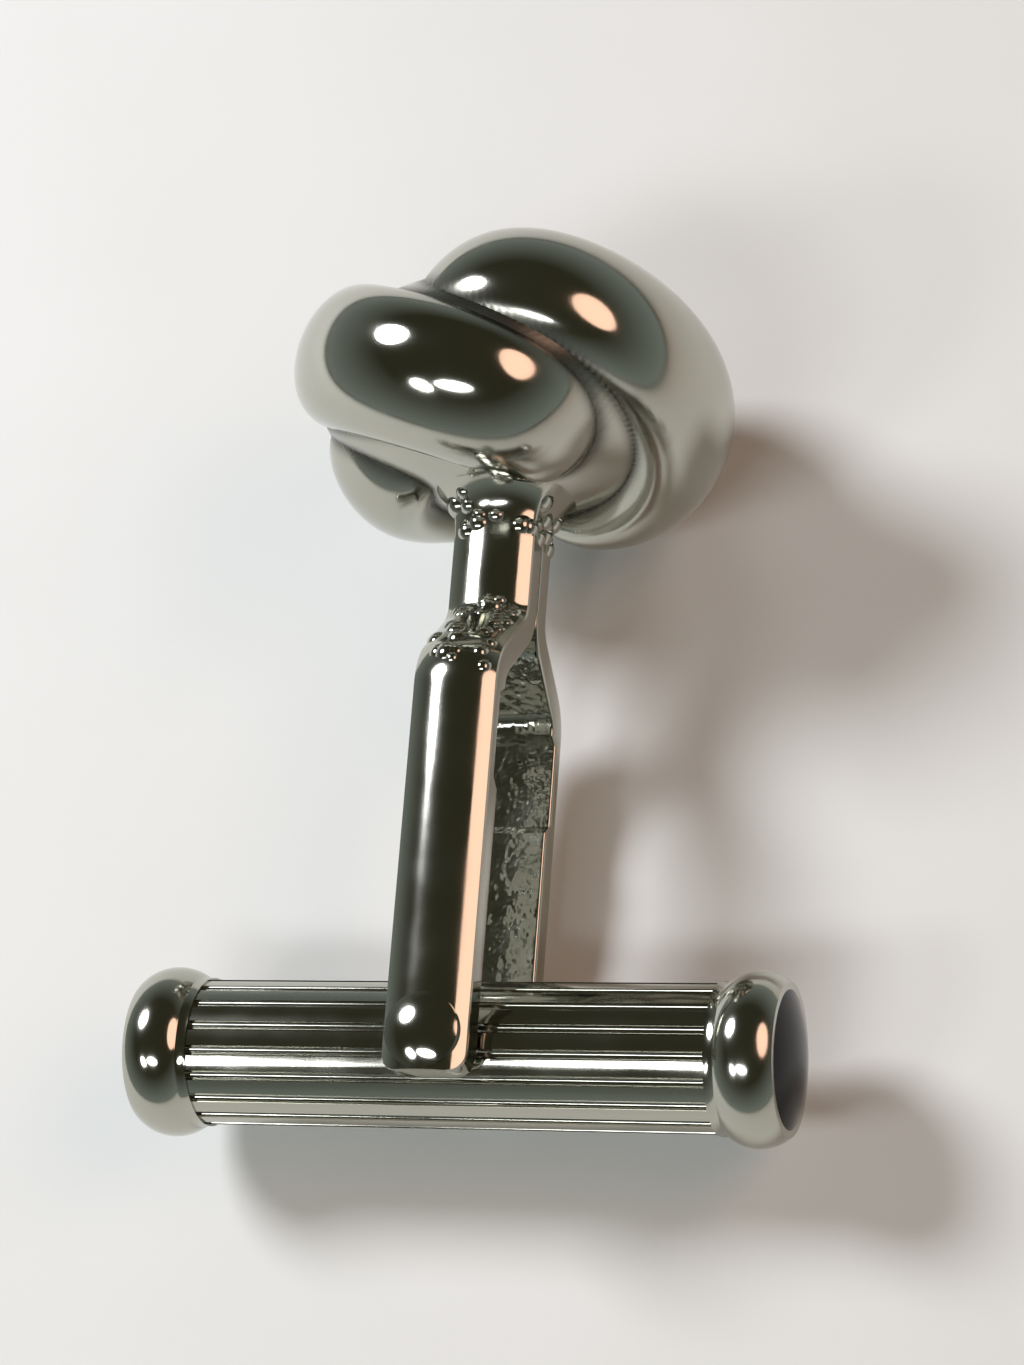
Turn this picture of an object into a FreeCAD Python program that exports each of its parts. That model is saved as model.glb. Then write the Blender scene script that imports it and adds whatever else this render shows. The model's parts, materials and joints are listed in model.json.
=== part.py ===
import FreeCAD, Part
import Sketcher
import math
import os

# A swivel-bar cufflink. A knotted head of three polished crescents stands on a post
# made of two half-round strips, bent apart into a fork. A fluted bar turns on a pin
# between the fork's ends: it swings in line with the post to pass the buttonholes, and
# clicks across it to hold the cuff.
#
# Everything is drawn upright first: the pin lies along Y through the origin, the bar
# along X and the post along Z. The finished pieces are then laid down together on the
# rear leg's foot and the head, which is how a cufflink lies on a table.

# Driving dimensions in millimetres, angles in degrees, and plain counts.
SIZES = [
    ("bar_length", 19.0, "swivel bar over its two inlays"),
    ("barrel_diameter", 4.0, "barrel over its lands"),
    ("flute_count", 18, "flutes round the barrel"),
    ("flute_radius", 0.14, "round cutter of the flutes"),
    ("cap_diameter", 4.7, "rolled end cap at its fullest"),
    ("cap_length", 1.85, "end cap from the barrel to its lip"),
    ("cap_neck", 0.25, "plain neck between barrel and roll"),
    ("cap_neck_diameter", 4.1, "neck and outer lip of the cap"),
    ("cap_spigot", 1.6, "plug of the cap inside the barrel"),
    ("inlay_diameter", 3.7, "domed inlay in the cap"),
    ("inlay_depth", 0.45, "recess that holds the inlay"),
    ("inlay_dome", 0.35, "dome of the inlay above the cap's lip"),
    ("pin_diameter", 1.4, "pivot pin"),
    ("pin_dome", 0.12, "riveted dome on each end of the pin"),
    ("pin_flat", 1.16, "across the four detent flats of the pin"),
    ("pin_flat_length", 2.3, "length of the flatted stretch"),
    ("leg_width", 2.4, "strip of the post, across"),
    ("leg_thickness", 1.2, "strip of the post, through its crown"),
    ("leg_side_height", 0.8, "straight side of the strip below the crown"),
    ("leg_offset", 2.2, "inner face of a leg from the post's middle"),
    ("leg_foot", 1.05, "leg beyond the pin"),
    ("leg_corner", 0.5, "rounded corners of the leg's end"),
    ("kink_angle", 50.0, "slope of the bend to the post"),
    ("kink_hip_radius", 0.8, "first bend, at the inner face"),
    ("kink_waist_radius", 1.6, "second bend, at the inner face"),
    ("boss_diameter", 1.9, "round bearing boss on a leg's inner face"),
    ("spot_depth", 0.12, "flat cut in the barrel for a boss"),
    ("spring_width", 1.4, "leaf spring across"),
    ("spring_thickness", 0.2, "leaf spring through"),
    ("post_rise", 9.45, "middle of the knot above the start of the bend"),
    ("knot_angle", 226.0, "direction of the first crescent's fullest point"),
    ("lobe_radius", 4.7, "middle of a crescent from the post's axis, at its fullest"),
    ("tip_radius", 2.75, "middle of a crescent from the post's axis, at its tips"),
    ("lobe_width", 4.6, "crescent along the knot's surface, at its fullest"),
    ("tip_width", 2.0, "crescent along the knot's surface, at its tips"),
    ("lobe_thickness", 3.4, "crescent through, at its fullest"),
    ("tip_thickness", 1.2, "crescent through, at its tips"),
    ("crescent_drop", 1.85, "how far a crescent runs above and below the knot's middle"),
    ("core_bulge_height", 1.0, "ball inside the knot, beyond the middle of a crescent at its fullest"),
    ("core_cap_height", 1.35, "ball above the middle of a crescent at its highest"),
    ("stem_tenon", 1.8, "top of the post below the knot's middle"),
    ("neck_diameter", 4.0, "flare of the filling where the post enters"),
    ("neck_drop", 4.2, "foot of that flare below the knot's middle"),
    ("neck_lip", 0.12, "wall of that flare at its foot"),
    ("run_clearance", 0.03, "pin in the barrel, radial"),
    ("boss_clearance", 0.05, "boss to the barrel's flat"),
    ("cap_clearance", 0.2, "fork to the passing caps"),
    ("spring_clearance", 1.2, "end of a leaf spring to the cap's plug"),
    ("seat_clearance", 0.03, "edges of a leaf spring to the wall of the bore"),
    ("stem_clearance", 0.02, "post in the knot, radial"),
    ("overrun", 3.0, "how far cuts run past the metal"),
]

# Part of the barrel's width that its bore takes.
BORE_SHARE = 0.675
# Shape of a crescent: how strongly its face follows the top and bottom of the knot.
ROLL_SHARE = 2.0
# Steps along one crescent, and round one of its sections.
SECTION_COUNT = 16
SECTION_POINTS = 20
CRESCENTS = 3
# Longitude from a crescent's fullest point to its tips, and to where it runs level.
CRESCENT_REACH = 112.0
CRESCENT_LEVEL = 84.0
# How long a crescent holds its fullest distance, width and thickness before they fade.
RADIUS_POWER = 2
WIDTH_POWER = 4
THICKNESS_POWER = 3
# Fineness of the points that find how the cufflink lies.
REST_TOLERANCE_SHARE = 0.001

doc = FreeCAD.newDocument("cufflink")
sheet = doc.addObject("Spreadsheet::Sheet", "Sizes")
for row, (alias, size, meaning) in enumerate(SIZES, start=1):
    sheet.set(f"A{row}", meaning)
    sheet.set(f"B{row}", str(size))
    sheet.setAlias(f"B{row}", alias)
doc.recompute()


class Length:
    """A number together with the sheet expression that it comes from."""

    def __init__(self, value, text):
        self.value = value
        self.text = text

    def _join(self, other, sign, value):
        return Length(value, f"({self.text} {sign} {other.text})")

    def __add__(self, other):
        return self._join(other, "+", self.value + other.value)

    def __sub__(self, other):
        return self._join(other, "-", self.value - other.value)

    def __mul__(self, other):
        return self._join(other, "*", self.value * other.value)

    def __truediv__(self, other):
        other = other if isinstance(other, Length) else Length(other, str(other))
        return self._join(other, "/", self.value / other.value)

    def __neg__(self):
        return Length(-self.value, f"(-{self.text})")


def size(alias):
    """A driving dimension from the sheet."""
    return Length(float(getattr(sheet, alias)), f"Sizes.{alias}")


def number(alias):
    """A driving dimension as a plain number, for pieces made by formula."""
    return size(alias).value


ZERO = Length(0.0, "0")


def arc_radius(chord, rise):
    """Radius of the arc that rises by a given height over a chord."""
    return chord * chord / (rise * Length(8.0, "8")) + rise / 2


def other_side(longest, side):
    """Third side of a right-angled triangle, from its longest side and one other."""
    value = math.sqrt(longest.value ** 2 - side.value ** 2)
    return Length(value, f"sqrt(({longest.text})^2 - ({side.text})^2)")


def bind(feature, name, length):
    feature.setExpression(name, length.text)


def new_body(name):
    body = doc.addObject("PartDesign::Body", name)
    body.Label = name
    return body


def origin_feature(body, role):
    return next(item for item in body.Origin.OriginFeatures if item.Role == role)


def new_sketch(body, name, role, lift=None):
    """A sketch on one of the body's own planes, lifted along its normal."""
    sketch = body.newObject("Sketcher::SketchObject", name)
    sketch.AttachmentSupport = (origin_feature(body, role), [""])
    sketch.MapMode = "FlatFace"
    if lift is not None:
        bind(sketch, "AttachmentOffset.Base.z", lift)
    return sketch


def fix_distance(sketch, kind, geometry, end, length):
    """Ties one coordinate of a point to the sheet, or to the axis where it is zero."""
    if length.text == "0":
        axis = -2 if kind == "DistanceX" else -1
        sketch.addConstraint(Sketcher.Constraint("PointOnObject", geometry, end, axis))
        return
    index = sketch.addConstraint(Sketcher.Constraint(kind, -1, 1, geometry, end, length.value))
    sketch.setExpression(f"Constraints[{index}]", length.text)


def draw_circle(sketch, x, y, radius):
    centre = FreeCAD.Vector(x.value, y.value, 0)
    circle = sketch.addGeometry(Part.Circle(centre, FreeCAD.Vector(0, 0, 1), radius.value))
    fix_distance(sketch, "DistanceX", circle, 3, x)
    fix_distance(sketch, "DistanceY", circle, 3, y)
    index = sketch.addConstraint(Sketcher.Constraint("Radius", circle, radius.value))
    sketch.setExpression(f"Constraints[{index}]", radius.text)


def arc_between(start, end, radius, side):
    """The short arc from start to end: side 1 turns left on the way, side -1 turns right."""
    chord = end - start
    half = chord.Length / 2
    across = FreeCAD.Vector(-chord.y, chord.x, 0).normalize()
    centre = (start + end) / 2 + across * side * math.sqrt(max(radius * radius - half * half, 0))
    first, last = (start, end) if side > 0 else (end, start)
    circle = Part.Circle(centre, FreeCAD.Vector(0, 0, 1), radius)
    return Part.ArcOfCircle(circle, circle.parameter(first), circle.parameter(last))


def draw_outline(sketch, corners, closed=True):
    """Lines and arcs through corners: (x, y), or (x, y, radius, side) where an arc leads to it."""
    spots = [FreeCAD.Vector(corner[0].value, corner[1].value, 0) for corner in corners]
    ends = {}
    for i in range(0 if closed else 1, len(corners)):
        start = spots[i - 1]
        end = spots[i]
        if len(corners[i]) == 2:
            edge = sketch.addGeometry(Part.LineSegment(start, end))
            ends[i] = (edge, 1, 2)
            continue
        radius, side = corners[i][2:]
        edge = sketch.addGeometry(arc_between(start, end, radius.value, side))
        index = sketch.addConstraint(Sketcher.Constraint("Radius", edge, radius.value))
        sketch.setExpression(f"Constraints[{index}]", radius.text)
        ends[i] = (edge, 1, 2) if side > 0 else (edge, 2, 1)
    for i, (edge, first, last) in ends.items():
        before = ends.get((i - 1) % len(corners))
        if before is None:
            fix_distance(sketch, "DistanceX", edge, first, corners[i - 1][0])
            fix_distance(sketch, "DistanceY", edge, first, corners[i - 1][1])
        else:
            sketch.addConstraint(Sketcher.Constraint("Coincident", before[0], before[2], edge, first))
        fix_distance(sketch, "DistanceX", edge, last, corners[i][0])
        fix_distance(sketch, "DistanceY", edge, last, corners[i][1])


def revolve(body, sketch, axis):
    feature = body.newObject("PartDesign::Revolution", f"{sketch.Name}Turned")
    feature.Profile = sketch
    feature.ReferenceAxis = (sketch, [axis])
    feature.Angle = 360.0
    return feature


def pad(body, sketch, length, symmetric=False):
    feature = body.newObject("PartDesign::Pad", f"{sketch.Name}Pad")
    feature.Profile = sketch
    feature.SideType = "Symmetric" if symmetric else "One side"
    bind(feature, "Length", length)
    return feature


def pocket(body, sketch, length, symmetric=False, reverse=False):
    feature = body.newObject("PartDesign::Pocket", f"{sketch.Name}Cut")
    feature.Profile = sketch
    feature.SideType = "Symmetric" if symmetric else "One side"
    feature.Reversed = reverse
    bind(feature, "Length", length)
    return feature


# Sizes that several pieces share
half_bar = size("bar_length") / 2
cap_end = half_bar - size("inlay_dome")
shoulder = cap_end - size("cap_length")
barrel_radius = size("barrel_diameter") / 2
bore_radius = barrel_radius * Length(BORE_SHARE, str(BORE_SHARE))
cap_radius = size("cap_diameter") / 2
inlay_radius = size("inlay_diameter") / 2
pin_radius = size("pin_diameter") / 2
half_leg = size("leg_width") / 2
spot_face = barrel_radius - size("spot_depth")
leg_outside = size("leg_offset") + size("leg_thickness")
cut_through = size("bar_length") + size("overrun")
kink_start = half_bar + size("cap_clearance")
knot_centre = kink_start + size("post_rise")
stem_top = knot_centre - size("stem_tenon")


def make_barrel():
    """The fluted barrel: a drawn tube with a cross hole and two flats for the bosses."""
    body = new_body("toggle_barrel")
    ring = new_sketch(body, "BarrelRound", "YZ_Plane")
    draw_circle(ring, ZERO, ZERO, barrel_radius)
    pad(body, ring, shoulder + shoulder, symmetric=True)
    bore = new_sketch(body, "BarrelBore", "YZ_Plane")
    draw_circle(bore, ZERO, ZERO, bore_radius)
    pocket(body, bore, cut_through, symmetric=True)
    flute = new_sketch(body, "BarrelFlute", "YZ_Plane")
    draw_circle(flute, ZERO, barrel_radius, size("flute_radius"))
    flute_cut = pocket(body, flute, cut_through, symmetric=True)
    flutes = body.newObject("PartDesign::PolarPattern", "BarrelFlutes")
    flutes.Originals = [flute_cut]
    flutes.Axis = (origin_feature(body, "X_Axis"), [""])
    flutes.Angle = 360.0
    bind(flutes, "Occurrences", size("flute_count"))
    body.Tip = flutes
    hole = new_sketch(body, "BarrelCross", "XZ_Plane")
    draw_circle(hole, ZERO, ZERO, pin_radius + size("run_clearance"))
    pocket(body, hole, cut_through, symmetric=True)
    spot_radius = size("boss_diameter") / 2 + size("cap_clearance")
    for name, lift, reverse in (("Front", spot_face, True), ("Rear", -spot_face, False)):
        flat = new_sketch(body, f"BarrelFlat{name}", "XZ_Plane", lift)
        draw_circle(flat, ZERO, ZERO, spot_radius)
        pocket(body, flat, size("overrun"), reverse=reverse)
    return body


def make_cap(name):
    """An end cap: a rolled collar with a plug that is pressed into the barrel."""
    body = new_body(name)
    neck_radius = size("cap_neck_diameter") / 2
    roll_start = shoulder + size("cap_neck")
    roll = arc_radius(cap_end - roll_start, cap_radius - neck_radius)
    recess = cap_end - size("inlay_depth")
    profile = new_sketch(body, f"{name}_profile", "XY_Plane")
    draw_outline(profile, [
        (shoulder - size("cap_spigot"), ZERO),
        (recess, ZERO),
        (recess, inlay_radius),
        (cap_end, inlay_radius),
        (cap_end, neck_radius),
        (roll_start, neck_radius, roll, 1),
        (shoulder, neck_radius),
        (shoulder, bore_radius),
        (shoulder - size("cap_spigot"), bore_radius),
    ])
    revolve(body, profile, "H_Axis")
    return body


def make_inlay(name):
    """A domed black inlay, set in the recess of a cap."""
    body = new_body(name)
    recess = cap_end - size("inlay_depth")
    dome = arc_radius(inlay_radius + inlay_radius, size("inlay_dome"))
    profile = new_sketch(body, f"{name}_profile", "XY_Plane")
    draw_outline(profile, [
        (recess, ZERO),
        (half_bar, ZERO),
        (cap_end, inlay_radius, dome, 1),
        (recess, inlay_radius),
    ])
    revolve(body, profile, "H_Axis")
    return body


def make_pin():
    """The pivot pin: round in the legs, with four detent flats inside the barrel."""
    body = new_body("pivot_pin")
    dome = arc_radius(size("pin_diameter"), size("pin_dome"))
    tip = leg_outside + size("pin_dome")
    profile = new_sketch(body, "PinProfile", "XY_Plane")
    draw_outline(profile, [
        (ZERO, -tip),
        (pin_radius, -leg_outside, dome, 1),
        (pin_radius, leg_outside),
        (ZERO, tip, dome, 1),
    ])
    revolve(body, profile, "V_Axis")
    flats = new_sketch(body, "PinFlats", "XZ_Plane")
    draw_circle(flats, ZERO, ZERO, size("pin_diameter"))
    side = size("pin_flat") / 2
    draw_outline(flats, [(side, side), (-side, side), (-side, -side), (side, -side)])
    pocket(body, flats, size("pin_flat_length"), symmetric=True)
    return body


def make_spring(name):
    """A leaf spring: bowed along the barrel, its middle on a flat of the pin."""
    body = new_body(name)
    half = shoulder - size("cap_spigot") - size("spring_clearance")
    high = other_side(bore_radius, size("spring_width") / 2) - size("seat_clearance")
    low = high - size("spring_thickness")
    bow = arc_radius(half + half, low - size("pin_flat") / 2)
    profile = new_sketch(body, f"{name}_profile", "XZ_Plane")
    draw_outline(profile, [
        (-half, low),
        (half, low, bow, 1),
        (half, high),
        (-half, high, bow, -1),
    ])
    pad(body, profile, size("spring_width"), symmetric=True)
    return body


def draw_leg_path(sketch):
    """The inner face of a leg from its foot, out round the bar and in to the post's middle."""
    angle = size("kink_angle")
    sine = Length(math.sin(math.radians(angle.value)), f"sin({angle.text} * 1 deg)")
    cosine = Length(math.cos(math.radians(angle.value)), f"cos({angle.text} * 1 deg)")
    inward = Length(1.0, "1") - cosine
    offset = size("leg_offset")
    hip = size("kink_hip_radius")
    waist = size("kink_waist_radius")
    hip_end = kink_start + hip * sine
    slope_end = hip_end + (offset - (hip + waist) * inward) / sine * cosine
    draw_outline(sketch, [
        (offset, -size("leg_foot")),
        (offset, kink_start),
        (offset - hip * inward, hip_end, hip, 1),
        (waist * inward, slope_end),
        (ZERO, slope_end + waist * sine, waist, -1),
        (ZERO, stem_top),
    ], closed=False)


def make_leg(name):
    """Half of the post: a half-round strip, bent out round the bar and drilled for the pin."""
    body = new_body(name)
    path = new_sketch(body, f"{name}_path", "YZ_Plane")
    draw_leg_path(path)
    inner = size("leg_offset")
    side = inner + size("leg_side_height")
    crown = arc_radius(size("leg_width"), size("leg_thickness") - size("leg_side_height"))
    strip = new_sketch(body, f"{name}_strip", "XY_Plane", -size("leg_foot"))
    draw_outline(strip, [
        (half_leg, inner),
        (half_leg, side),
        (-half_leg, side, crown, 1),
        (-half_leg, inner),
    ])
    doc.recompute()
    bent = body.newObject("PartDesign::AdditivePipe", f"{name}_bent")
    bent.Profile = strip
    bent.Spine = path
    doc.recompute()
    foot = -number("leg_foot")
    corners = []
    for i, edge in enumerate(bent.Shape.Edges, start=1):
        middle = edge.BoundBox.Center
        across = abs(abs(middle.x) - half_leg.value) < Part.Precision.confusion()
        if across and edge.BoundBox.ZMax < foot + Part.Precision.confusion():
            corners.append(f"Edge{i}")
    rounded = body.newObject("PartDesign::Fillet", f"{name}_corners")
    rounded.Base = (bent, corners)
    bind(rounded, "Radius", size("leg_corner"))
    doc.recompute()
    # Round boss that bears on the barrel's flat
    boss = new_sketch(body, f"{name}_boss", "XZ_Plane", -inner)
    draw_circle(boss, ZERO, ZERO, size("boss_diameter") / 2)
    pad(body, boss, inner - spot_face - size("boss_clearance"))
    # Track milled round the pin, in which the bar's caps pass
    track = new_sketch(body, f"{name}_track", "YZ_Plane")
    deep = cap_radius + size("cap_clearance")
    near = shoulder - size("cap_clearance")
    draw_outline(track, [(ZERO, near), (deep, near), (deep, kink_start), (ZERO, kink_start)])
    milled = body.newObject("PartDesign::Groove", f"{name}_milled")
    milled.Profile = track
    milled.ReferenceAxis = (track, ["H_Axis"])
    milled.Angle = 360.0
    hole = new_sketch(body, f"{name}_hole", "XZ_Plane")
    draw_circle(hole, ZERO, ZERO, pin_radius)
    pocket(body, hole, cut_through, symmetric=True)
    return body


def fading(fullest, tip, part, power):
    """A value that falls from a crescent's fullest point to its tips, slowly at first."""
    return tip + (fullest - tip) * (1 - abs(part) ** power)


def crescent_section(part):
    """Points of an oval in a plane through the post, from the upper tip, -1, to the lower, 1."""
    away = CRESCENT_REACH * part
    height = -number("crescent_drop") * math.sin(math.pi / 2 * away / CRESCENT_LEVEL)
    radius = fading(number("lobe_radius"), number("tip_radius"), part, RADIUS_POWER)
    width = fading(number("lobe_width"), number("tip_width"), part, WIDTH_POWER)
    depth = fading(number("lobe_thickness"), number("tip_thickness"), part, THICKNESS_POWER)
    # The broad face leans to follow the knot's round surface
    lean = math.atan2(ROLL_SHARE * height, radius)
    up = FreeCAD.Vector(0, 0, 1)
    ray = FreeCAD.Vector(math.cos(math.radians(away)), math.sin(math.radians(away)), 0)
    out = ray * math.cos(lean) + up * math.sin(lean)
    along = up * math.cos(lean) - ray * math.sin(lean)
    middle = ray * radius + up * height
    # The seam lies on the inner side
    angles = [2 * math.pi * i / SECTION_POINTS - math.pi / 2 for i in range(SECTION_POINTS)]
    oval = [middle + along * width / 2 * math.cos(a) + out * depth / 2 * math.sin(a) for a in angles]
    return oval + oval[:1]


def make_crescent():
    """A solid crescent about the knot's middle: one smooth skin and two flat tips."""
    surface = Part.BSplineSurface()
    surface.interpolate([crescent_section(2 * i / SECTION_COUNT - 1) for i in range(SECTION_COUNT + 1)])
    skin = surface.toShape()
    tips = [Part.Face(Part.Wire(edge)) for edge in skin.Edges if edge.isClosed()]
    shell = Part.makeShell([skin] + tips)
    shell.sewShape()
    return Part.makeSolid(shell)


def turned(shape, angle):
    copy = shape.copy()
    copy.rotate(FreeCAD.Vector(), FreeCAD.Vector(0, 0, 1), angle)
    return copy


def place_on_post(shape, name):
    """Keeps a shape of the knot as a piece, turned and lifted to its place on the post."""
    piece = doc.addObject("Part::Feature", name)
    piece.Label = name
    shape = turned(shape, number("knot_angle"))
    shape.translate(FreeCAD.Vector(0, 0, knot_centre.value))
    piece.Shape = shape
    return piece


def make_knot():
    """The knot about its own middle: three crescents, and the filling that holds the post."""
    third = 360.0 / CRESCENTS
    strands = [turned(make_crescent(), third * i) for i in range(CRESCENTS)]
    # The round way that the post needs through the underside
    way_radius = math.hypot(half_leg.value, number("leg_side_height")) + number("stem_clearance")
    way = Part.makeCylinder(way_radius, stem_top.value, FreeCAD.Vector(0, 0, -knot_centre.value))
    # Each crescent rests in the hollow of the one before it
    crescents = []
    for i, strand in enumerate(strands):
        nested = strand.cut(strands[i - 1]).cut(way)
        crescents.append(place_on_post(nested, f"knot_crescent_{i + 1}"))
    # The filling, with a flared neck that the post is brazed into
    stretch = FreeCAD.Matrix()
    waist = number("lobe_radius") + number("core_bulge_height")
    stretch.scale(waist, waist, number("crescent_drop") + number("core_cap_height"))
    ball = Part.makeSphere(1.0).transformGeometry(stretch)
    neck = Part.makeCone(
        way_radius + number("neck_lip"),
        number("neck_diameter") / 2,
        number("neck_drop") - number("stem_tenon"),
        FreeCAD.Vector(0, 0, -number("neck_drop")),
    )
    filling = turned(ball, third / 4).fuse(neck).cut(strands).cut(way)
    return crescents, place_on_post(filling, "knot_core")


# The pieces, upright, with the half turn that makes a second one of a pair
HALF_TURN = FreeCAD.Rotation(FreeCAD.Vector(0, 0, 1), 180)
FLIP = FreeCAD.Rotation(FreeCAD.Vector(1, 0, 0), 180)
AS_DRAWN = FreeCAD.Rotation()
crescents, core = make_knot()
pieces = [(piece, AS_DRAWN) for piece in crescents]
pieces += [
    (core, AS_DRAWN),
    (make_leg("post_leg_rear"), AS_DRAWN),
    (make_leg("post_leg_front"), HALF_TURN),
    (make_pin(), AS_DRAWN),
    (make_barrel(), AS_DRAWN),
    (make_cap("toggle_cap_right"), AS_DRAWN),
    (make_cap("toggle_cap_left"), HALF_TURN),
    (make_inlay("cap_inlay_right"), AS_DRAWN),
    (make_inlay("cap_inlay_left"), HALF_TURN),
    (make_spring("detent_spring_inner"), AS_DRAWN),
    (make_spring("detent_spring_outer"), FLIP),
]
doc.recompute()

for item in doc.Objects:
    if "Invalid" in item.State or "Error" in item.State:
        raise RuntimeError(f"{item.Label}: {item.State}")

# The lie on a table: the tilt at which the head comes down as low as the rear leg's foot
tolerance = number("bar_length") * REST_TOLERANCE_SHARE
head_points = []
foot_points = []
for piece, turn in pieces:
    points = head_points if piece in crescents else foot_points
    points += [turn.multVec(point) for point in piece.Shape.tessellate(tolerance)[0]]


def lowest(points, tilt):
    """Lowest of the points against the pin when the post rises by this angle."""
    return min(point.z * math.sin(tilt) - point.y * math.cos(tilt) for point in points)


low, high = 0.0, math.pi / 4
for _ in range(30):
    tilt = (low + high) / 2
    if lowest(head_points, tilt) < lowest(foot_points, tilt):
        low = tilt
    else:
        high = tilt

laid = FreeCAD.Rotation(FreeCAD.Vector(1, 0, 0), math.degrees(tilt) - 90)
corners = [laid.multVec(point) for point in head_points + foot_points]
middle_x = (min(p.x for p in corners) + max(p.x for p in corners)) / 2
middle_y = (min(p.y for p in corners) + max(p.y for p in corners)) / 2
shift = FreeCAD.Vector(-middle_x, -middle_y, -min(p.z for p in corners))

os.makedirs("parts", exist_ok=True)
for piece, turn in pieces:
    piece.Placement = FreeCAD.Placement(shift, laid * turn).multiply(piece.Placement)
for piece, turn in pieces:
    if piece.Shape.isNull() or not piece.Shape.isValid():
        raise RuntimeError(f"{piece.Label} has no valid shape")
for piece, turn in pieces:
    piece.Shape.exportStep(f"parts/{piece.Label}.step")
    print(piece.Label, len(piece.Shape.Solids), round(piece.Shape.Volume, 3))

axis = laid.multVec(FreeCAD.Vector(0, -1, 0))
print("tilt", round(math.degrees(tilt), 3))
print("pivot", [round(value, 5) for value in shift])
print("pivot axis", [round(value, 6) for value in axis])
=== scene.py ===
import json
import math
import bpy
import numpy as np
from mathutils import Matrix, Vector
from mathutils.kdtree import KDTree


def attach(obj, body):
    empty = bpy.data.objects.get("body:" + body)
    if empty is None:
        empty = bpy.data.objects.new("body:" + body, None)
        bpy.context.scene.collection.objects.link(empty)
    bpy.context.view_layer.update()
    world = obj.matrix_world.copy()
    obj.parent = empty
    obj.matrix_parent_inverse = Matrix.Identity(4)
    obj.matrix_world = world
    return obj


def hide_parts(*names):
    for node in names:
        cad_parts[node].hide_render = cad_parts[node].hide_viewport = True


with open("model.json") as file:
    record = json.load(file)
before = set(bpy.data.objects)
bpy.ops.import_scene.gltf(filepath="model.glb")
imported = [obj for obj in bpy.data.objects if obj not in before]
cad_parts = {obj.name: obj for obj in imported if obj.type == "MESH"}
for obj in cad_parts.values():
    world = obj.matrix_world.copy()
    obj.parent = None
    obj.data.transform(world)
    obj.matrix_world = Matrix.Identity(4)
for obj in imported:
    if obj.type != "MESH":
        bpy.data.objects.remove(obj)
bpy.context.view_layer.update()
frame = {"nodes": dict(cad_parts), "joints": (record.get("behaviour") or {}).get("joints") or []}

# The knotted head: three fat crescents, cast in silver, laid over and under each other
# as one endless strand, brazed together, tumbled and polished bright, then plated.

# Lengths are in millimetres and angles in degrees, unless a name says otherwise.
MM = 0.001
SHARP_ANGLE = 40.0
swivel = frame["joints"][0]
pivot = np.array(swivel["pos_m"])
toward_viewer = np.array(swivel["axis"])
along_bar = np.array((1.0, 0.0, 0.0))
along_post = np.cross(toward_viewer, along_bar)


def to_row(points):
    """From millimetres about the pin (along the bar, away from the viewer, up the post) to the frame."""
    return pivot + MM * (points @ np.array((along_bar, -toward_viewer, along_post)))


def closed_shell(grid):
    """Vertices and faces of a tube of rings: quads between neighbouring rings, one face on each end."""
    rings, spots = grid.shape[:2]
    first = np.arange(rings - 1)[:, None] * spots
    here = np.arange(spots)[None, :]
    after = (here + 1) % spots
    quads = np.stack([first + here, first + after, first + spots + after, first + spots + here], axis=-1)
    faces = quads.reshape(-1, 4).tolist()
    faces.append(np.arange(spots)[::-1].tolist())
    faces.append((np.arange(spots) + (rings - 1) * spots).tolist())
    points = grid.reshape(-1, 3)
    a, b, c, d = (points[quads.reshape(-1, 4)[:, i]] - points.mean(axis=0) for i in range(4))
    volume = np.sum(a * np.cross(b, c)) + np.sum(a * np.cross(c, d))
    if volume < 0:
        faces = [face[::-1] for face in faces]
    return points, faces


def make_piece(name, shells, body, nodes, finish):
    """One object out of closed shells given in millimetres, standing for the named nodes."""
    vertices = []
    faces = []
    for grid in shells:
        points, shell_faces = closed_shell(grid)
        start = sum(len(part) for part in vertices)
        faces += [[index + start for index in face] for face in shell_faces]
        vertices.append(points)
    mesh = bpy.data.meshes.new(name)
    mesh.from_pydata(to_row(np.concatenate(vertices)).tolist(), [], faces)
    mesh.polygons.foreach_set("use_smooth", np.ones(len(faces), dtype=bool))
    mesh.set_sharp_from_angle(angle=math.radians(SHARP_ANGLE))
    mesh.materials.append(finish)
    piece = bpy.data.objects.new(name, mesh)
    bpy.context.scene.collection.objects.link(piece)
    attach(piece, body)
    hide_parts(*nodes)
    return piece


def colour(code):
    """An sRGB hex colour as linear red, green, blue and alpha."""
    parts = np.array([int(code[i:i + 2], 16) for i in (1, 3, 5)]) / 255
    linear = np.where(parts <= 0.04045, parts / 12.92, ((parts + 0.055) / 1.055) ** 2.4)
    return (*linear.tolist(), 1.0)


def add(tree, kind, inputs=None, **settings):
    """A node with its settings; an input is a value, or the output socket that feeds it."""
    node = tree.nodes.new(kind)
    for key, value in settings.items():
        setattr(node, key, value)
    for key, value in (inputs or {}).items():
        if isinstance(value, bpy.types.NodeSocket):
            tree.links.new(value, node.inputs[key])
        else:
            node.inputs[key].default_value = value
    return node


def new_finish(name):
    """An empty material with its shader, and the place on the piece in metres."""
    finish = bpy.data.materials.new(name)
    finish.use_nodes = True
    tree = finish.node_tree
    place = add(tree, "ShaderNodeTexCoord").outputs["Object"]
    return finish, tree, tree.nodes["Principled BSDF"], place


def per_mm(size):
    """Texture scale for a feature of this size in millimetres."""
    return 1.0 / (size * MM)


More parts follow.
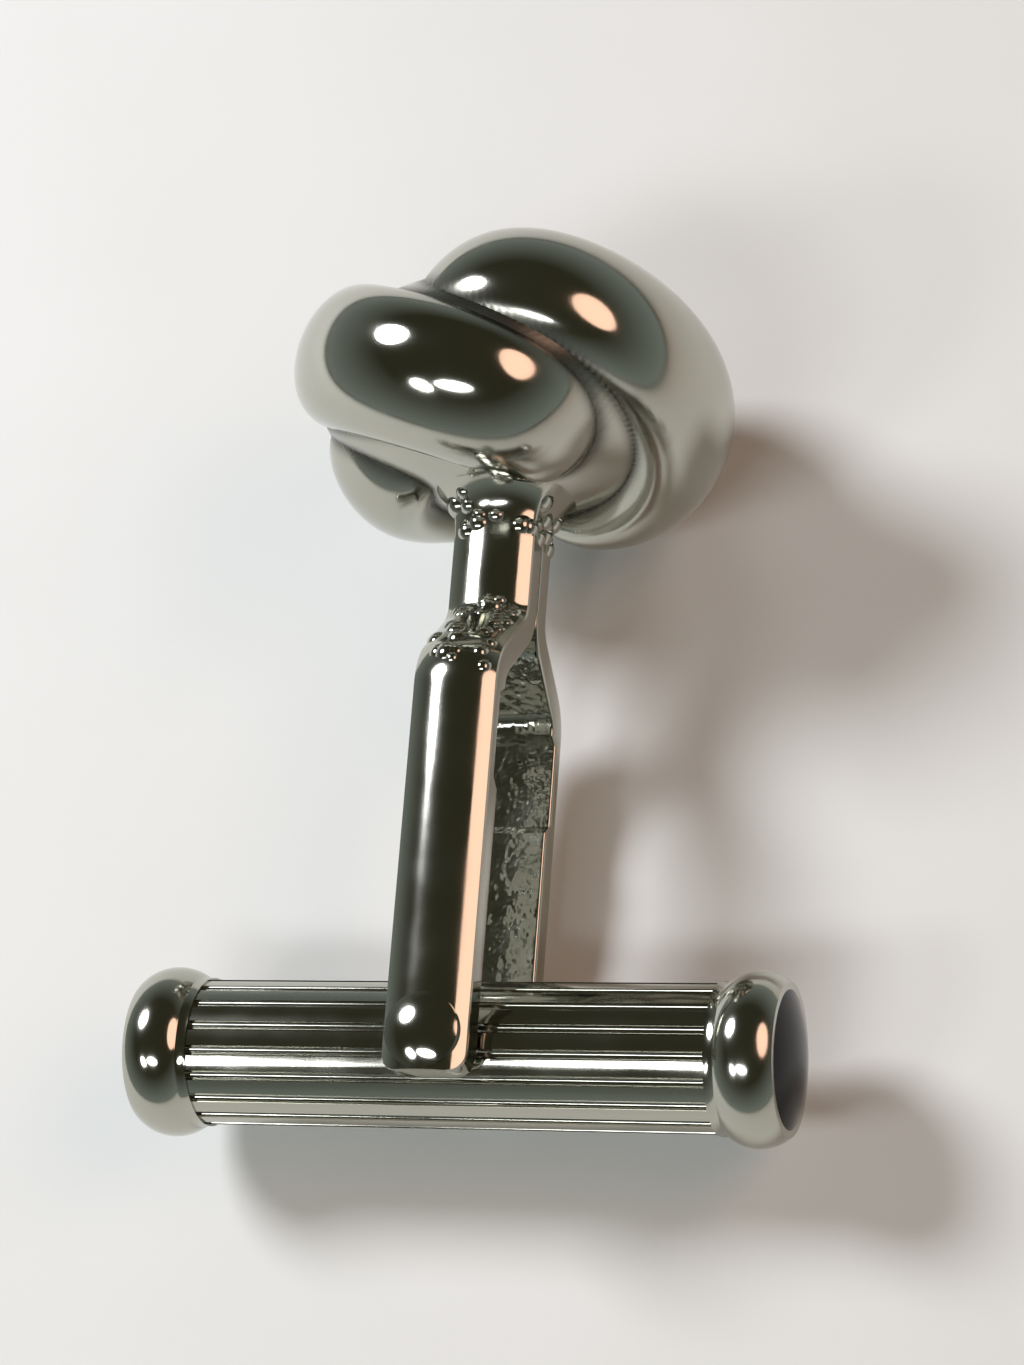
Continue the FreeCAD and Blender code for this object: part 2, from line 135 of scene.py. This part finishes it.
# Rhodium-plated silver, buffed: a neutral mirror with a faint haze of handling, hair-fine
# buffing lines that only show in the highlights, and painted shade in the creases: near the
# neighbouring pieces the colour darkens to grey and the roughness goes up.
# Where the buff can't reach, the cast skin is left wavy.
def plated_silver():
    finish, tree, shader, place = new_finish("rhodium_plated_silver_buffed")
    crease_shade = add(tree, "ShaderNodeAttribute", attribute_name="crease_shade").outputs["Fac"]
    haze = add(tree, "ShaderNodeTexNoise", {"Vector": place, "Scale": per_mm(2.6), "Detail": 4.0})
    rough = add(tree, "ShaderNodeMapRange", {
        "Value": haze.outputs["Fac"], "From Min": 0.35, "From Max": 0.7, "To Min": 0.08, "To Max": 0.15,
    })
    dull = add(tree, "ShaderNodeMapRange", {"Value": crease_shade, "To Min": 0.0, "To Max": 0.3})
    total = add(tree, "ShaderNodeMath", {
        0: rough.outputs["Result"], 1: dull.outputs["Result"],
    }, operation="ADD")
    # painted shade: the colour turns dark grey where the piece lies close to its neighbours, down in the
    # creases
    tint = add(tree, "ShaderNodeMix", {
        "Factor": crease_shade, "A": colour("#B6B5AA"), "B": colour("#34312A"),
    }, data_type="RGBA")
    streak = add(tree, "ShaderNodeMapping", {
        "Vector": place, "Scale": (1.0, 0.12, 0.35), "Rotation": (0.3, 0.5, 0.2),
    })
    lines = add(tree, "ShaderNodeTexNoise", {
        "Vector": streak.outputs["Vector"], "Scale": per_mm(0.06), "Detail": 2.0,
    })
    buffed = add(tree, "ShaderNodeBump", {
        "Height": lines.outputs["Fac"], "Strength": 0.05, "Distance": 0.01 * MM,
    })
    cast = add(tree, "ShaderNodeAttribute", attribute_name="cast").outputs["Fac"]
    skin = add(tree, "ShaderNodeTexNoise", {"Vector": place, "Scale": per_mm(0.55), "Detail": 2.0})
    bump = add(tree, "ShaderNodeBump", {
        "Height": skin.outputs["Fac"], "Strength": cast, "Distance": 0.05 * MM,
        "Normal": buffed.outputs["Normal"],
    })
    shader.inputs["Metallic"].default_value = 1.0
    tree.links.new(tint.outputs["Result"], shader.inputs["Base Color"])
    tree.links.new(total.outputs["Value"], shader.inputs["Roughness"])
    tree.links.new(bump.outputs["Normal"], shader.inputs["Normal"])
    return finish


silver = plated_silver()

KNOT_CENTRE = 19.15
KNOT_TURN = 226.0
CRESCENTS = 3
CRESCENT_REACH = 112.0
CRESCENT_LEVEL = 84.0
CRESCENT_HEIGHT = 1.85
LOBE_RADIUS = 4.7
TIP_RADIUS = 2.75
RADIUS_POWER = 2
LOBE_WIDTH = 4.6
TIP_WIDTH = 2.0
WIDTH_POWER = 4
LOBE_THICKNESS = 3.4
TIP_THICKNESS = 1.2
THICKNESS_POWER = 3
ROLL_SHARE = 2.0
BALL_RADIUS = 5.7
BALL_HALF = 3.2
BALL_POLE_RADIANS = 0.02
CREASE_REACH = 0.35


def fading(middle, end, part, power):
    """From its full value at the middle down to its value at both ends, as a power of the way along."""
    return end + (middle - end) * (1 - np.abs(part) ** power)


def crescent_grid(number, rings=200, spots=96):
    """Ovals in planes through the post, set round the knot from over one neighbour to under the other.

    The height goes as a sine of the longitude, and each oval leans so that its broad face is
    turned out to the knot's own round surface.
    """
    part = np.linspace(-1.0, 1.0, rings)
    away = CRESCENT_REACH * part
    height = -CRESCENT_HEIGHT * np.sin(np.radians(away * 90.0 / CRESCENT_LEVEL))
    radius = fading(LOBE_RADIUS, TIP_RADIUS, part, RADIUS_POWER)
    lean = np.arctan2(ROLL_SHARE * height, radius)[:, None]
    half_width = fading(LOBE_WIDTH, TIP_WIDTH, part, WIDTH_POWER)[:, None] / 2
    half_depth = fading(LOBE_THICKNESS, TIP_THICKNESS, part, THICKNESS_POWER)[:, None] / 2
    angle = np.linspace(0.0, 2 * np.pi, spots, endpoint=False)[None, :]
    across = half_width * np.cos(angle)
    out = half_depth * np.sin(angle)
    ring = radius[:, None] + out * np.cos(lean) - across * np.sin(lean)
    rise = height[:, None] + out * np.sin(lean) + across * np.cos(lean)
    turn = np.radians(KNOT_TURN + 360.0 / CRESCENTS * number + away)[:, None]
    return np.stack([ring * np.cos(turn), ring * np.sin(turn), rise + KNOT_CENTRE], axis=-1)


def nearness(points, others, reach):
    """1 where a point touches its neighbours, falling to 0 at this distance from them."""
    tree = KDTree(len(others))
    for index, point in enumerate(others.tolist()):
        tree.insert(point, index)
    tree.balance()
    gap = np.array([tree.find(point)[2] for point in points.tolist()])
    return np.clip(1 - gap / reach, 0, 1)


def mark_creases(piece, points, neighbours):
    """Keeps on each vertex how close it lies to the neighbouring pieces."""
    others = np.concatenate([other.reshape(-1, 3) for other in neighbours])
    crease_shade = piece.data.attributes.new("crease_shade", "FLOAT", "POINT")
    # this nearness drives the painted shade in the creases of the plated silver
    crease_shade.data.foreach_set("value", nearness(points.reshape(-1, 3), others, CREASE_REACH) ** 2)


def ball_grid(rings=120, spots=160):
    """A ball pressed flat along the post: a circle of latitude at each height."""
    latitude = np.linspace(-np.pi / 2 + BALL_POLE_RADIANS, np.pi / 2 - BALL_POLE_RADIANS, rings)[:, None]
    turn = np.linspace(0.0, 2 * np.pi, spots, endpoint=False)[None, :]
    ring = BALL_RADIUS * np.cos(latitude)
    rise = BALL_HALF * np.sin(latitude) + 0 * turn
    return np.stack([ring * np.cos(turn), ring * np.sin(turn), rise + KNOT_CENTRE], axis=-1)


ball = ball_grid()
crescent_grids = [crescent_grid(i) for i in range(CRESCENTS)]
for i, grid in enumerate(crescent_grids):
    piece = make_piece(f"crescent_{i + 1}", [grid], "post", [f"knot_crescent_{i + 1}"], silver)
    mark_creases(piece, grid, [ball] + [crescent_grids[j] for j in range(CRESCENTS) if j != i])

# The middle of the knot: a silver ball that shows as a narrow strip between the crescents.
# Below, a fillet of braze runs from the post up into the knot, with frozen drops along it.

NECK_DROP = 4.5
NECK_RISE = 1.7
NECK_TOP = 2.3
NECK_FILM = 0.01
NECK_RINGS = 60
NECK_SPOTS = 144
DROP_POLE_RADIANS = 0.05
SUNK_SHARE = 0.7
LEG_HALF = 1.2
LEG_THICK = 1.2
LEG_SIDE = 0.8
CROWN_RADIUS = LEG_HALF ** 2 / (2 * (LEG_THICK - LEG_SIDE)) + (LEG_THICK - LEG_SIDE) / 2


def lathe(profile, spots, axis):
    """Rings of a turned profile, given as places along an axis (0, 1 or 2) and radii."""
    place, radius = (np.asarray(column)[:, None] for column in profile)
    angle = np.linspace(0.0, 2 * np.pi, spots, endpoint=False)[None, :]
    parts = [radius * np.cos(angle), radius * np.sin(angle)]
    parts.insert(axis, place + 0 * angle)
    return np.stack(parts, axis=-1)


def stem_radius(angle):
    """The post's outline from its axis: two round crowns, cut off by the flat sides."""
    sunk = (CROWN_RADIUS - LEG_THICK) * np.abs(np.sin(angle))
    round_side = np.sqrt(sunk ** 2 + CROWN_RADIUS ** 2 - (CROWN_RADIUS - LEG_THICK) ** 2) - sunk
    return np.minimum(round_side, LEG_HALF / np.maximum(np.abs(np.cos(angle)), 1e-6))


def neck_grid():
    """Closely round the post at the foot, widening as a cube of the rise to a circle inside the knot."""
    rise = np.linspace(0.0, 1.0, NECK_RINGS)[:, None]
    angle = np.linspace(0.0, 2 * np.pi, NECK_SPOTS, endpoint=False)[None, :]
    foot = stem_radius(angle) + NECK_FILM
    ring = foot + (NECK_TOP - foot) * rise ** 3
    height = NECK_RISE * rise - NECK_DROP + KNOT_CENTRE + 0 * angle
    return np.stack([ring * np.cos(angle), ring * np.sin(angle), height], axis=-1)


def drop_grid(middle, size, rings=12, spots=16):
    """A small ball."""
    latitude = np.linspace(-np.pi / 2 + DROP_POLE_RADIANS, np.pi / 2 - DROP_POLE_RADIANS, rings)
    return lathe((size * np.sin(latitude), size * np.cos(latitude)), spots, 2) + middle


def scatter(grid, rows, columns, count, sizes, seed):
    """Frozen drops at random places in these rows and columns of a surface, sunk to a low cap."""
    out = np.cross(np.gradient(grid, axis=0), np.gradient(grid, axis=1))
    out /= np.linalg.norm(out, axis=-1, keepdims=True)
    out *= np.sign(np.sum(out * (grid - grid.mean(axis=1, keepdims=True)), axis=-1, keepdims=True))
    random = np.random.default_rng(seed)
    row = random.integers(rows[0], rows[1], count)
    column = random.integers(columns[0], columns[1], count)
    size = random.uniform(sizes[0], sizes[1], count)
    return [drop_grid(grid[i, j] - SUNK_SHARE * r * out[i, j], r) for i, j, r in zip(row, column, size)]


neck = neck_grid()
neck_drops = scatter(neck, rows=(3, 42), columns=(0, NECK_SPOTS), count=34, sizes=(0.26, 0.46), seed=3)
filling = [ball, neck, *neck_drops]
piece = make_piece("braze_filling", filling, "post", ["knot_core"], silver)
mark_creases(piece, np.concatenate([shell.reshape(-1, 3) for shell in filling]), crescent_grids)

# The post: two half-round silver strips, bent apart into a fork below and brazed back to
# back as the stem above. Each foot is drilled for the pin and has a boss on its inner face.

LEG_OFFSET = 2.2
LEG_EDGE = 0.1
EDGE_TRIM_SHARE = 0.3
EDGE_SINK_SHARE = 0.8
LEG_FOOT = 1.05
LEG_CORNER = 0.5
KINK_START = 9.7
KINK_ANGLE = math.radians(50.0)
HIP = 0.8
WAIST = 1.6
STEM_TOP = KNOT_CENTRE - 1.8
BOSS_RADIUS = 0.95
BOSS_BORE = 0.7
BOSS_EDGE = 0.05
BOSS_ROOT = 0.2
BOSS_FACE = 1.93
TRACK = (7.1, KINK_START)
TRACK_DEPTH = 0.35
STEP_GAP = 1e-3
CROWN_SPOTS = 41
INNER_SPOTS = 17
CROWN_MIDDLE = 30
CAST_FOOT = 1.5
CAST_TOP = KINK_START + 2.0
BRAZE_SPAN = (KINK_START + 0.3, KINK_START + 3.2)


def leg_path():
    """The strip's inner face seen from the side: straight, a bend, a ramp, a bend back, straight."""
    foot = np.linspace(0.0, 1.0, 24) ** 1.5 * LEG_CORNER
    low = np.concatenate([foot, np.linspace(LEG_CORNER, LEG_FOOT + TRACK[0], 30)[1:]]) - LEG_FOOT
    high = np.linspace(TRACK[0] + STEP_GAP, KINK_START, 14)
    straight = np.stack([np.full(len(low) + len(high), LEG_OFFSET), np.concatenate([low, high])], axis=1)
    bend = np.linspace(0.0, KINK_ANGLE, 28)
    hip = np.stack([LEG_OFFSET - HIP * (1 - np.cos(bend)), KINK_START + HIP * np.sin(bend)], axis=1)
    drop = LEG_OFFSET - (HIP + WAIST) * (1 - math.cos(KINK_ANGLE))
    slope = np.array((-math.sin(KINK_ANGLE), math.cos(KINK_ANGLE)))
    start = hip[-1] + drop / math.sin(KINK_ANGLE) * slope
    ramp = hip[-1] + (start - hip[-1]) * np.linspace(0.0, 1.0, 26)[1:-1, None]
    back = KINK_ANGLE - bend
    waist_rise = start[1] + WAIST * (math.sin(KINK_ANGLE) - np.sin(back))
    waist = np.stack([WAIST * (1 - np.cos(back)), waist_rise], axis=1)
    stem = np.stack([np.zeros(12), np.linspace(waist[-1, 1], STEM_TOP, 13)[1:]], axis=1)
    turn = np.concatenate([
        np.zeros(len(straight)), bend[1:], np.full(len(ramp), KINK_ANGLE), back, np.zeros(len(stem)),
    ])
    return np.concatenate([straight, hip[1:], ramp, waist, stem]), turn


def crown(x):
    """Height of the round outside over the flat inner face."""
    return LEG_THICK - CROWN_RADIUS + np.sqrt(CROWN_RADIUS ** 2 - x ** 2)


def edge(half, middle, start, end):
    """A broken edge on the right of the section: part of a small circle, from one angle to another."""
    angle = np.radians(np.linspace(start, end, 6))[None, :]
    return half - LEG_EDGE + LEG_EDGE * np.cos(angle), middle + LEG_EDGE * np.sin(angle) + 0 * half


def leg_grid():
    """The half-round section carried along the path, narrowed at the foot by two rounded corners."""
    path, turn = leg_path()
    end = path[:, 1] + LEG_FOOT
    inset = np.where((end < LEG_CORNER) & (turn == 0), LEG_CORNER - end, 0)
    half = (LEG_HALF - LEG_CORNER + np.sqrt(LEG_CORNER ** 2 - inset ** 2))[:, None]
    in_track = (path[:, 1] > TRACK[0]) & (path[:, 1] < TRACK[1]) & (turn == 0)
    milled = np.where(in_track, TRACK_DEPTH, 0)[:, None]
    over = np.linspace(1.0, -1.0, CROWN_SPOTS)[None, :] * (half - EDGE_TRIM_SHARE * LEG_EDGE)
    under = np.linspace(-1.0, 1.0, INNER_SPOTS)[None, :] * (half - LEG_EDGE)
    outer_x, outer_lift = edge(half, crown(half) - EDGE_SINK_SHARE * LEG_EDGE, 0.0, 45.0)
    inner_x, inner_lift = edge(half, milled + LEG_EDGE, -80.0, 0.0)
    x = np.concatenate([inner_x, outer_x, over, -outer_x[:, ::-1], -inner_x[:, ::-1], under], axis=1)
    lift = np.concatenate([
        inner_lift, outer_lift, crown(over), outer_lift[:, ::-1], inner_lift[:, ::-1], milled + 0 * under,
    ], axis=1)
    y = path[:, :1] + lift * np.cos(turn)[:, None]
    z = path[:, 1:] + lift * np.sin(turn)[:, None]
    return np.stack([x, y, z], axis=-1)


def boss_grid():
    """A short turned boss from the barrel's flat into the leg, with a broken edge."""
    place = [BOSS_FACE, BOSS_FACE, BOSS_FACE + BOSS_EDGE, LEG_OFFSET + BOSS_ROOT]
    radius = [BOSS_BORE, BOSS_RADIUS - BOSS_EDGE, BOSS_RADIUS, BOSS_RADIUS]
    return lathe((place, radius), 48, 1)


def mark_cast(piece, heights):
    """Keeps on the vertices of the leg's inner face that they have the cast skin."""
    spots = heights.shape[1]
    cast = np.zeros(len(piece.data.vertices))
    inner = np.arange(spots)[None, :] >= spots - INNER_SPOTS
    cast[:heights.size] = (inner & (heights > CAST_FOOT) & (heights < CAST_TOP)).reshape(-1)
    mark = piece.data.attributes.new("cast", "FLOAT", "POINT")
    mark.data.foreach_set("value", cast)


leg = leg_grid()
crown_height = leg[:, CROWN_MIDDLE, 2]
bend = np.flatnonzero((crown_height > BRAZE_SPAN[0]) & (crown_height < BRAZE_SPAN[1]))
drops = scatter(leg, rows=(bend[0], bend[-1]), columns=(16, 48), count=34, sizes=(0.22, 0.42), seed=11)
leg_shells = [leg, boss_grid(), *drops]
for name, way in (("rear", 1), ("front", -1)):
    turned = [grid * (way, way, 1) for grid in leg_shells]
    piece = make_piece(f"leg_{name}", turned, "post", [f"post_leg_{name}"], silver)
    mark_cast(piece, leg[..., 2])

# The pivot pin: a silver-steel pin, riveted to a low dome in each leg, with four flats in
# the middle that the springs click on.

PIN_RADIUS = 0.7
PIN_END = LEG_OFFSET + LEG_THICK
PIN_HEAD = 1.02
PIN_SKIRT = 0.3
PIN_DOME = 0.26
PIN_FLAT = 0.58
PIN_FLAT_HALF = 1.15


def pin_grid(spots=96):
    """Heads domed as a square on a round shank; between the flats the radius is cut back to a square."""
    dome = np.linspace(0.02, 1.0, 20)
    shank = np.array([PIN_END - PIN_SKIRT, PIN_END - PIN_SKIRT, PIN_FLAT_HALF + STEP_GAP, PIN_FLAT_HALF])
    half_place = np.concatenate([PIN_END + PIN_DOME * (1 - dome ** 2), shank])
    half_radius = np.concatenate([PIN_HEAD * dome, [PIN_HEAD, PIN_RADIUS, PIN_RADIUS, PIN_RADIUS]])
    place = np.concatenate([-half_place, half_place[::-1]])
    radius = np.concatenate([half_radius, half_radius[::-1]])
    grid = lathe((place, radius), spots, 1)
    angle = np.linspace(0.0, 2 * np.pi, spots, endpoint=False)[None, :]
    square = PIN_FLAT / np.maximum(np.abs(np.cos(angle)), np.abs(np.sin(angle)))
    flat = np.where(np.abs(place[:, None]) <= PIN_FLAT_HALF, np.minimum(square / PIN_RADIUS, 1.0), 1.0)
    return grid * np.stack([flat, np.ones_like(flat), flat], axis=-1)


make_piece("pin", [pin_grid()], "post", ["pivot_pin"], silver)

# The fluted barrel: a drawn silver tube with lengthwise flutes, cross-drilled for the pin
# and spot-faced flat under each leg.

frame["nodes"]["toggle_barrel"].data.materials.clear()
frame["nodes"]["toggle_barrel"].data.materials.append(silver)

# The end caps: turned silver collars with a rolled outside, pressed into the barrel. Each
# has a recess in its end for an inlay.

SHOULDER = 7.3
CAP_END = 9.15
CAP_NECK = 2.05
CAP_RADIUS = 2.35
CAP_NECK_LENGTH = 0.25
INLAY_RADIUS = 1.85
INLAY_DEPTH = 0.45
SPIGOT = 1.6
BORE_RADIUS = 1.35
AXIS_GAP = 0.02


def cap_grid():
    """A turned profile: plug, shoulder, neck, one round roll, lip and the recess for the inlay."""
    roll_start = SHOULDER + CAP_NECK_LENGTH
    share = np.linspace(0.0, 1.0, 40)
    half = (CAP_END - roll_start) / 2
    rise = CAP_RADIUS - CAP_NECK
    radius = half ** 2 / (2 * rise) + rise / 2
    offset = half * (2 * share - 1)
    roll = CAP_RADIUS - radius + np.sqrt(radius ** 2 - offset ** 2)
    place = [SHOULDER - SPIGOT, SHOULDER - SPIGOT, SHOULDER, SHOULDER, *(roll_start + 2 * half * share),
             CAP_END, CAP_END - INLAY_DEPTH, CAP_END - INLAY_DEPTH]
    rings = [AXIS_GAP, BORE_RADIUS, BORE_RADIUS, CAP_NECK, *roll, INLAY_RADIUS, INLAY_RADIUS, AXIS_GAP]
    return lathe((place, rings), 128, 0)


for side, way in (("right", 1), ("left", -1)):
    make_piece(f"cap_{side}", [cap_grid() * (way, way, 1)], "toggle", [f"toggle_cap_{side}"], silver)

# The inlays: black resin discs with a low dome, cemented into the recesses of the caps
# and left bare.

INLAY_DOME = 0.35


# Cast black resin, polished: jet black under a glassy skin, with a little depth in it.
def black_resin():
    finish, tree, shader, place = new_finish("black_resin_cast_polished")
    cloud = add(tree, "ShaderNodeTexNoise", {"Vector": place, "Scale": per_mm(0.8), "Detail": 3.0})
    tint = add(tree, "ShaderNodeMix", {
        "Factor": cloud.outputs["Fac"], "A": colour("#060607"), "B": colour("#141417"),
    }, data_type="RGBA")
    gloss = add(tree, "ShaderNodeMapRange", {"Value": cloud.outputs["Fac"], "To Min": 0.05, "To Max": 0.16})
    tree.links.new(tint.outputs["Result"], shader.inputs["Base Color"])
    tree.links.new(gloss.outputs["Result"], shader.inputs["Roughness"])
    shader.inputs["IOR"].default_value = 1.5
    shader.inputs["Specular IOR Level"].default_value = 0.15
    return finish


resin = black_resin()


def inlay_grid():
    """A disc whose face is a shallow cap of a sphere."""
    share = np.linspace(1.0, 0.01, 30)
    radius = INLAY_RADIUS ** 2 / (2 * INLAY_DOME) + INLAY_DOME / 2
    dome = CAP_END + INLAY_DOME - radius + np.sqrt(radius ** 2 - (INLAY_RADIUS * share) ** 2)
    place = [CAP_END - INLAY_DEPTH, CAP_END - INLAY_DEPTH, *dome]
    return lathe((place, [AXIS_GAP, INLAY_RADIUS, *(INLAY_RADIUS * share)]), 96, 0)


for side, way in (("right", 1), ("left", -1)):
    make_piece(f"inlay_{side}", [inlay_grid() * (way, way, 1)], "toggle", [f"cap_inlay_{side}"], resin)

# The detent springs: two bowed leaves of spring steel inside the barrel, held by its wall,
# that press on the flats of the pin.


# Blued spring steel, rolled: fine lines along the strip and a straw-to-blue tint from tempering.
def blued_strip():
    finish, tree, shader, place = new_finish("spring_steel_rolled_blued")
    drawn = add(tree, "ShaderNodeMapping", {"Vector": place, "Scale": (0.05, 1.0, 1.0)})
    grain = add(tree, "ShaderNodeTexNoise", {"Vector": drawn.outputs["Vector"], "Scale": per_mm(0.08)})
    tint = add(tree, "ShaderNodeMix", {
        "Factor": grain.outputs["Fac"], "A": colour("#3E4656"), "B": colour("#6E6A62"),
    }, data_type="RGBA")
    rough = add(tree, "ShaderNodeMapRange", {"Value": grain.outputs["Fac"], "To Min": 0.22, "To Max": 0.42})
    shader.inputs["Metallic"].default_value = 1.0
    tree.links.new(tint.outputs["Result"], shader.inputs["Base Color"])
    tree.links.new(rough.outputs["Result"], shader.inputs["Roughness"])
    return finish


strip = blued_strip()
for node in ("detent_spring_inner", "detent_spring_outer"):
    frame["nodes"][node].data.materials.clear()
    frame["nodes"][node].data.materials.append(strip)

# The table: a plain pale sheet of matt card that the cufflink lies on.

FLOOR_HALF = 400.0


# Matt card: pale and even, with faint cloudy fibre and no shine.
def matt_card():
    finish, tree, shader, place = new_finish("card_matt_pale")
    fleck = add(tree, "ShaderNodeTexNoise", {"Vector": place, "Scale": per_mm(9.0), "Detail": 5.0})
    tint = add(tree, "ShaderNodeMix", {
        "Factor": fleck.outputs["Fac"], "A": colour("#E6E5E0"), "B": colour("#EDECE8"),
    }, data_type="RGBA")
    tree.links.new(tint.outputs["Result"], shader.inputs["Base Color"])
    shader.inputs["Roughness"].default_value = 0.75
    return finish


floor_mesh = bpy.data.meshes.new("table")
reach = FLOOR_HALF * MM
corners = [(-reach, -reach, 0), (reach, -reach, 0), (reach, reach, 0), (-reach, reach, 0)]
floor_mesh.from_pydata(corners, [], [(0, 1, 2, 3)])
floor_mesh.materials.append(matt_card())
table = bpy.data.objects.new("table", floor_mesh)
bpy.context.scene.collection.objects.link(table)

# The light: a dim room with four soft boxes. Two stand left and right of the camera, and two
# small ones low in front and in the near left corner, which the flutes and caps reflect.

world = bpy.data.worlds.new("room")
world.use_nodes = True
sky = world.node_tree
way = add(sky, "ShaderNodeTexCoord").outputs["Generated"]
height = add(sky, "ShaderNodeSeparateXYZ", {"Vector": way}).outputs["Z"]
lift = add(sky, "ShaderNodeMapRange", {"Value": height, "From Min": 0.0, "From Max": 0.6})
shade = add(sky, "ShaderNodeMix", {
    "Factor": lift.outputs["Result"], "A": colour("#8A938F"), "B": colour("#3B3A2C"),
}, data_type="RGBA")
sky.links.new(shade.outputs["Result"], sky.nodes["Background"].inputs["Color"])
bpy.context.scene.world = world

LIT_POINT = (0.0, 0.0, 12.0)


def add_lamp(name, place, width, height, watts, tint):
    """A soft box at a place in millimetres from the pin, turned to the middle of the cufflink."""
    lamp = bpy.data.lights.new(name, "AREA")
    lamp.shape = "ELLIPSE"
    lamp.size = width * MM
    lamp.size_y = height * MM
    lamp.energy = watts
    lamp.color = colour(tint)[:3]
    holder = bpy.data.objects.new(name, lamp)
    start = Vector(to_row(np.array(place)))
    facing = Vector(to_row(np.array(LIT_POINT))) - start
    holder.matrix_world = Matrix.Translation(start) @ facing.to_track_quat("-Z", "Y").to_matrix().to_4x4()
    bpy.context.scene.collection.objects.link(holder)


add_lamp("lamp_left", (-120.0, -130.0, 92.0), width=70.0, height=70.0, watts=0.32, tint="#F4F8FF")
add_lamp("lamp_right", (130.0, -135.0, 48.0), width=140.0, height=90.0, watts=0.075, tint="#FFD0BC")
add_lamp("lamp_low", (-20.0, -175.0, -80.0), width=90.0, height=34.0, watts=0.08, tint="#F6FBFF")
add_lamp("lamp_corner", (-100.0, -165.0, -80.0), width=56.0, height=34.0, watts=0.06, tint="#F6FBFF")

# The camera stands where the photograph was taken from, close over the bar and a little to
# its right, and is turned to the middle of the cufflink.

CAMERA_PLACE = (30.5, -86.0, -17.2)
CAMERA_AIM = (0.6, 0.0, 10.6)
CAMERA_ROLL = math.radians(1.3)
IMAGE_HEIGHT = 1365
FOCAL_PIXELS = 3400.0

camera_data = bpy.data.cameras.new("camera")
camera_data.sensor_fit = "VERTICAL"
camera_data.sensor_height = 36.0
camera_data.lens = FOCAL_PIXELS / IMAGE_HEIGHT * camera_data.sensor_height
camera_data.clip_start = 1.0 * MM
camera = bpy.data.objects.new("camera", camera_data)
eye = Vector(to_row(np.array(CAMERA_PLACE)))
look = (Vector(to_row(np.array(CAMERA_AIM))) - eye).normalized()
level = Vector(along_bar) - look * look.dot(Vector(along_bar))
level = Matrix.Rotation(CAMERA_ROLL, 3, look) @ level.normalized()
upright = level.cross(look)
camera.matrix_world = Matrix.Translation(eye) @ Matrix((level, upright, -look)).transposed().to_4x4()
bpy.context.scene.collection.objects.link(camera)
bpy.context.scene.camera = camera
bpy.context.scene.view_settings.view_transform = "Standard"
